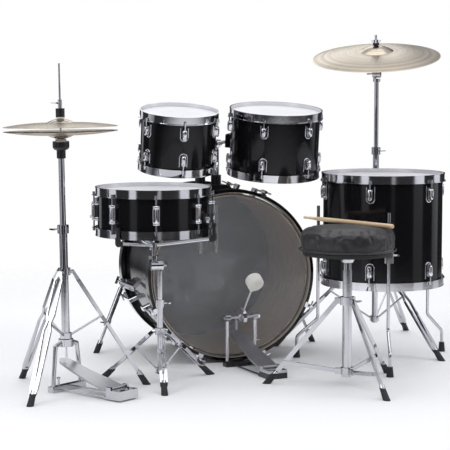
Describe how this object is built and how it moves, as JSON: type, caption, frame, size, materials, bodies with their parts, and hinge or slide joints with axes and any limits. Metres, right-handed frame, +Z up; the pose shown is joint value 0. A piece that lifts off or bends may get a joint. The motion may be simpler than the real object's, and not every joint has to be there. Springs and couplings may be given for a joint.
{
  "type": "acoustic drum kit",
  "caption": "Acoustic drum kit: bass drum with pedal, rack toms, floor tom, snare, hi-hat, crash cymbal, throne and stick.",
  "frame": {"origin": "centre of the kit's footprint box, on the floor", "axes": "+Z up, +X to the seated drummer's right, +Y from the drummer towards the audience along the bass drum"},
  "size_m": [1.6784, 1.2167, 1.1261],
  "materials": {
    "black_shell": "gloss black wrap over wood",
    "black_hoop": "gloss black lacquer with a silver stripe on the front hoop",
    "clear_head": "clear drum film",
    "dark_head": "black gloss drum film",
    "coated_head": "coated drum film",
    "bronze": "lathed bronze",
    "black_vinyl": "black vinyl",
    "cast_silver": "satin casting with dark grip strips",
    "black_metal": "satin black",
    "felt": "pressed felt",
    "pale_wood": "clear lacquer",
    "chrome": "bright plating"
  },
  "bodies": {
    "kit": {"bass_shell": "black_shell", "bass_hoops": "black_hoop", "bass_batter_head": "clear_head", "bass_front_head": "dark_head", "bass_lugs_and_claws": "chrome", "tom_mount": "black_metal", "floor_tom_shell": "black_shell", "floor_tom_heads": "coated_head", "floor_tom_hoops": "chrome", "floor_tom_lugs_and_brackets": "chrome", "snare_stand_base": "chrome", "crash_stand_base": "chrome", "hihat_stand_base": "chrome", "hihat_pedal_frame": "black_metal", "pedal_frame": "black_metal", "pedal_spring": "chrome", "throne_base_tube": "chrome"},
    "bass_spur_left": {"bass_spur_left": "chrome"},
    "bass_spur_right": {"bass_spur_right": "chrome"},
    "tom_arm_left": {"tom_arm_left": "chrome"},
    "tom_arm_right": {"tom_arm_right": "chrome"},
    "tom_left": {"tom_left_shell": "black_shell", "tom_left_heads": "coated_head", "tom_left_hoops_and_lugs": "chrome"},
    "tom_right": {"tom_right_shell": "black_shell", "tom_right_heads": "coated_head", "tom_right_hoops_and_lugs": "chrome"},
    "floor_tom_leg_1": {"floor_tom_leg_1": "chrome"},
    "floor_tom_leg_2": {"floor_tom_leg_2": "chrome"},
    "floor_tom_leg_3": {"floor_tom_leg_3": "chrome"},
    "snare_upper_tube": {"snare_stand_upper_tube": "chrome"},
    "snare_basket": {"snare_basket": "chrome"},
    "snare_drum": {"snare_shell": "black_shell", "snare_heads": "coated_head", "snare_hoops": "chrome", "snare_lugs_and_strainer": "chrome"},
    "snare_strainer_lever": {"snare_strainer_lever": "chrome"},
    "crash_upper_tube": {"crash_upper_tube": "chrome"},
    "crash_tilter": {"crash_tilter": "chrome"},
    "crash_cymbal": {"crash_cymbal": "bronze"},
    "hihat_upper": {"hihat_upper_tube": "chrome", "hihat_bottom_cymbal": "bronze"},
    "hihat_footboard": {"hihat_footboard": "cast_silver"},
    "hihat_pull_rod": {"hihat_pull_rod": "chrome"},
    "hihat_clutch": {"hihat_clutch": "chrome", "hihat_top_cymbal": "bronze"},
    "pedal_footboard": {"pedal_footboard": "cast_silver"},
    "pedal_beater": {"pedal_beater_shaft": "chrome", "pedal_beater": "felt"},
    "throne_yoke": {"throne_yoke": "chrome"},
    "throne_leg_1": {"throne_leg_1": "chrome"},
    "throne_leg_2": {"throne_leg_2": "chrome"},
    "throne_leg_3": {"throne_leg_3": "chrome"},
    "throne_brace_1": {"throne_brace_1": "chrome"},
    "throne_brace_2": {"throne_brace_2": "chrome"},
    "throne_brace_3": {"throne_brace_3": "chrome"},
    "throne_post": {"throne_seat_post": "chrome"},
    "throne_seat": {"throne_seat_bracket": "chrome", "throne_cushion": "black_vinyl"},
    "drumstick": {"drumstick": "pale_wood"}
  },
  "joints": [
    {"name": "bass_spur_left_fold", "type": "hinge", "parent": "kit", "child": "bass_spur_left", "pos_m": [-0.31937, 0.4814, 0.246], "axis": [-0.9211, 0, 0.3894], "range_deg": [0, 84]},
    {"name": "bass_spur_right_fold", "type": "hinge", "parent": "kit", "child": "bass_spur_right", "pos_m": [0.28863, 0.4814, 0.246], "axis": [-0.9211, 0, -0.3894], "range_deg": [0, 20]},
    {"name": "tom_left_swivel", "type": "hinge", "parent": "kit", "child": "tom_arm_left", "pos_m": [-0.06937, 0.3544, 0.742], "axis": [0, 0, 1], "range_deg": [-10, 2]},
    {"name": "tom_right_swivel", "type": "hinge", "parent": "kit", "child": "tom_arm_right", "pos_m": [-0.01137, 0.3544, 0.742], "axis": [0, 0, 1], "range_deg": [-2, 6]},
    {"name": "tom_left_tilt", "type": "hinge", "parent": "tom_arm_left", "child": "tom_left", "pos_m": [-0.06937, 0.3544, 0.742], "axis": [0.8117, -0.584, 0], "range_deg": [-8, 6]},
    {"name": "tom_right_tilt", "type": "hinge", "parent": "tom_arm_right", "child": "tom_right", "pos_m": [-0.01137, 0.3544, 0.742], "axis": [0.7194, 0.6946, 0], "range_deg": [-8, 4]},
    {"name": "floor_tom_leg_1_slide", "type": "slide", "parent": "kit", "child": "floor_tom_leg_1", "axis": [0, 0, 1], "range_m": [-0.08, 0.05]},
    {"name": "floor_tom_leg_2_slide", "type": "slide", "parent": "kit", "child": "floor_tom_leg_2", "axis": [0, 0, 1], "range_m": [-0.08, 0.05]},
    {"name": "floor_tom_leg_3_slide", "type": "slide", "parent": "kit", "child": "floor_tom_leg_3", "axis": [0, 0, 1], "range_m": [-0.08, 0.05]},
    {"name": "snare_height", "type": "slide", "parent": "kit", "child": "snare_upper_tube", "axis": [0, 0, 1], "range_m": [-0.06, 0.02]},
    {"name": "snare_tilt", "type": "hinge", "parent": "snare_upper_tube", "child": "snare_basket", "pos_m": [-0.35037, -0.1186, 0.378], "axis": [1, 0, 0], "range_deg": [-8, 12]},
    {"name": "snare_lift_off", "type": "slide", "parent": "snare_basket", "child": "snare_drum", "axis": [0, 0, 1], "range_m": [0, 0.05]},
    {"name": "snare_throw_off", "type": "hinge", "parent": "snare_drum", "child": "snare_strainer_lever", "pos_m": [-0.53162, -0.0009, 0.571], "axis": [-0.5664, -0.8241, 0], "range_deg": [-75, 0]},
    {"name": "crash_height", "type": "slide", "parent": "kit", "child": "crash_upper_tube", "axis": [0, 0, 1], "range_m": [-0.15, 0.05]},
    {"name": "crash_tilt", "type": "hinge", "parent": "crash_upper_tube", "child": "crash_tilter", "pos_m": [0.58263, 0.3244, 0.985], "axis": [0.866, -0.5, 0], "range_deg": [-20, 20]},
    {"name": "crash_sway", "type": "hinge", "parent": "crash_tilter", "child": "crash_cymbal", "pos_m": [0.5709, 0.30407, 1.08426], "axis": [0.866, -0.5, 0], "range_deg": [-5, 5], "stiffness_Nm_per_rad": 8},
    {"name": "hihat_height", "type": "slide", "parent": "kit", "child": "hihat_upper", "axis": [-0.0134, 0.0112, 0.9998], "range_m": [-0.01, 0.08]},
    {"name": "hihat_clutch_slide", "type": "slide", "parent": "hihat_pull_rod", "child": "hihat_clutch", "axis": [-0.0134, 0.0112, 0.9998], "range_m": [-0.01, 0.08]},
    {"name": "hihat_footboard_press", "type": "hinge", "parent": "kit", "child": "hihat_footboard", "pos_m": [-0.53315, -0.3254, 0.0336], "axis": [0.8386, 0.5447, 0.0051], "range_deg": [-3.2, 0]},
    {"name": "hihat_pull_rod_slide", "type": "slide", "parent": "kit", "child": "hihat_pull_rod", "axis": [-0.0134, 0.0112, 0.9998], "range_m": [-0.0122, 0], "stiffness_N_per_m": 1500, "springref_m": 0.04},
    {"name": "pedal_footboard_press", "type": "hinge", "parent": "kit", "child": "pedal_footboard", "pos_m": [0.0298, -0.12399, 0.03], "axis": [0.9877, 0.1564, 0], "range_deg": [-7.3, 0]},
    {"name": "pedal_beater_swing", "type": "hinge", "parent": "kit", "child": "pedal_beater", "pos_m": [-0.00337, 0.0854, 0.165], "axis": [0.9877, 0.1564, 0], "range_deg": [-54.05, 0], "stiffness_Nm_per_rad": 0.35, "springref_deg": 68.75, "deforming": ["pedal_spring"]},
    {"name": "throne_yoke_slide", "type": "slide", "parent": "kit", "child": "throne_yoke", "axis": [0, 0, 1], "range_m": [0, 0.08]},
    {"name": "throne_leg_1_fold", "type": "hinge", "parent": "throne_yoke", "child": "throne_leg_1", "pos_m": [0.18629, -0.32684, 0.272], "axis": [-0.3987, -0.9171, 0], "range_deg": [0, 6.2]},
    {"name": "throne_brace_1_fold", "type": "hinge", "parent": "kit", "child": "throne_brace_1", "pos_m": [0.18904, -0.32804, 0.046], "axis": [-0.3987, -0.9171, 0], "range_deg": [-23, 0]},
    {"name": "throne_leg_2_fold", "type": "hinge", "parent": "throne_yoke", "child": "throne_leg_2", "pos_m": [0.24119, -0.32035, 0.272], "axis": [-0.6018, 0.7986, 0], "range_deg": [0, 6.2]},
    {"name": "throne_brace_2_fold", "type": "hinge", "parent": "kit", "child": "throne_brace_2", "pos_m": [0.23879, -0.32215, 0.046], "axis": [-0.6018, 0.7986, 0], "range_deg": [-23, 0]},
    {"name": "throne_leg_3_fold", "type": "hinge", "parent": "throne_yoke", "child": "throne_leg_3", "pos_m": [0.21953, -0.37137, 0.272], "axis": [0.9925, 0.1219, 0], "range_deg": [0, 6.2]},
    {"name": "throne_brace_3_fold", "type": "hinge", "parent": "kit", "child": "throne_brace_3", "pos_m": [0.21917, -0.36839, 0.046], "axis": [0.9925, 0.1219, 0], "range_deg": [-23, 0]},
    {"name": "throne_height", "type": "slide", "parent": "kit", "child": "throne_post", "axis": [0, 0, 1], "range_m": [-0.02, 0.1]},
    {"name": "throne_swivel", "type": "hinge", "parent": "throne_post", "child": "throne_seat", "pos_m": [0.21563, -0.3396, 0.4], "axis": [0, 0, 1], "continuous": true},
    {"name": "drumstick_lift_off", "type": "slide", "parent": "throne_post", "child": "drumstick", "axis": [0, 0, 1], "range_m": [0, 0.1]}
  ],
  "couplings": [
    {"joint": "hihat_pull_rod_slide", "follows": "hihat_footboard_press", "m_per_rad": 0.216},
    {"joint": "hihat_clutch_slide", "follows": "hihat_height", "ratio": 1},
    {"joint": "pedal_beater_swing", "follows": "pedal_footboard_press", "ratio": 7.4},
    {"joint": "throne_leg_1_fold", "follows": "throne_yoke_slide", "rad_per_m": 1.3025},
    {"joint": "throne_brace_1_fold", "follows": "throne_yoke_slide", "rad_per_m": -4.944},
    {"joint": "throne_leg_2_fold", "follows": "throne_yoke_slide", "rad_per_m": 1.3025},
    {"joint": "throne_brace_2_fold", "follows": "throne_yoke_slide", "rad_per_m": -4.944},
    {"joint": "throne_leg_3_fold", "follows": "throne_yoke_slide", "rad_per_m": 1.3025},
    {"joint": "throne_brace_3_fold", "follows": "throne_yoke_slide", "rad_per_m": -4.944}
  ]
}
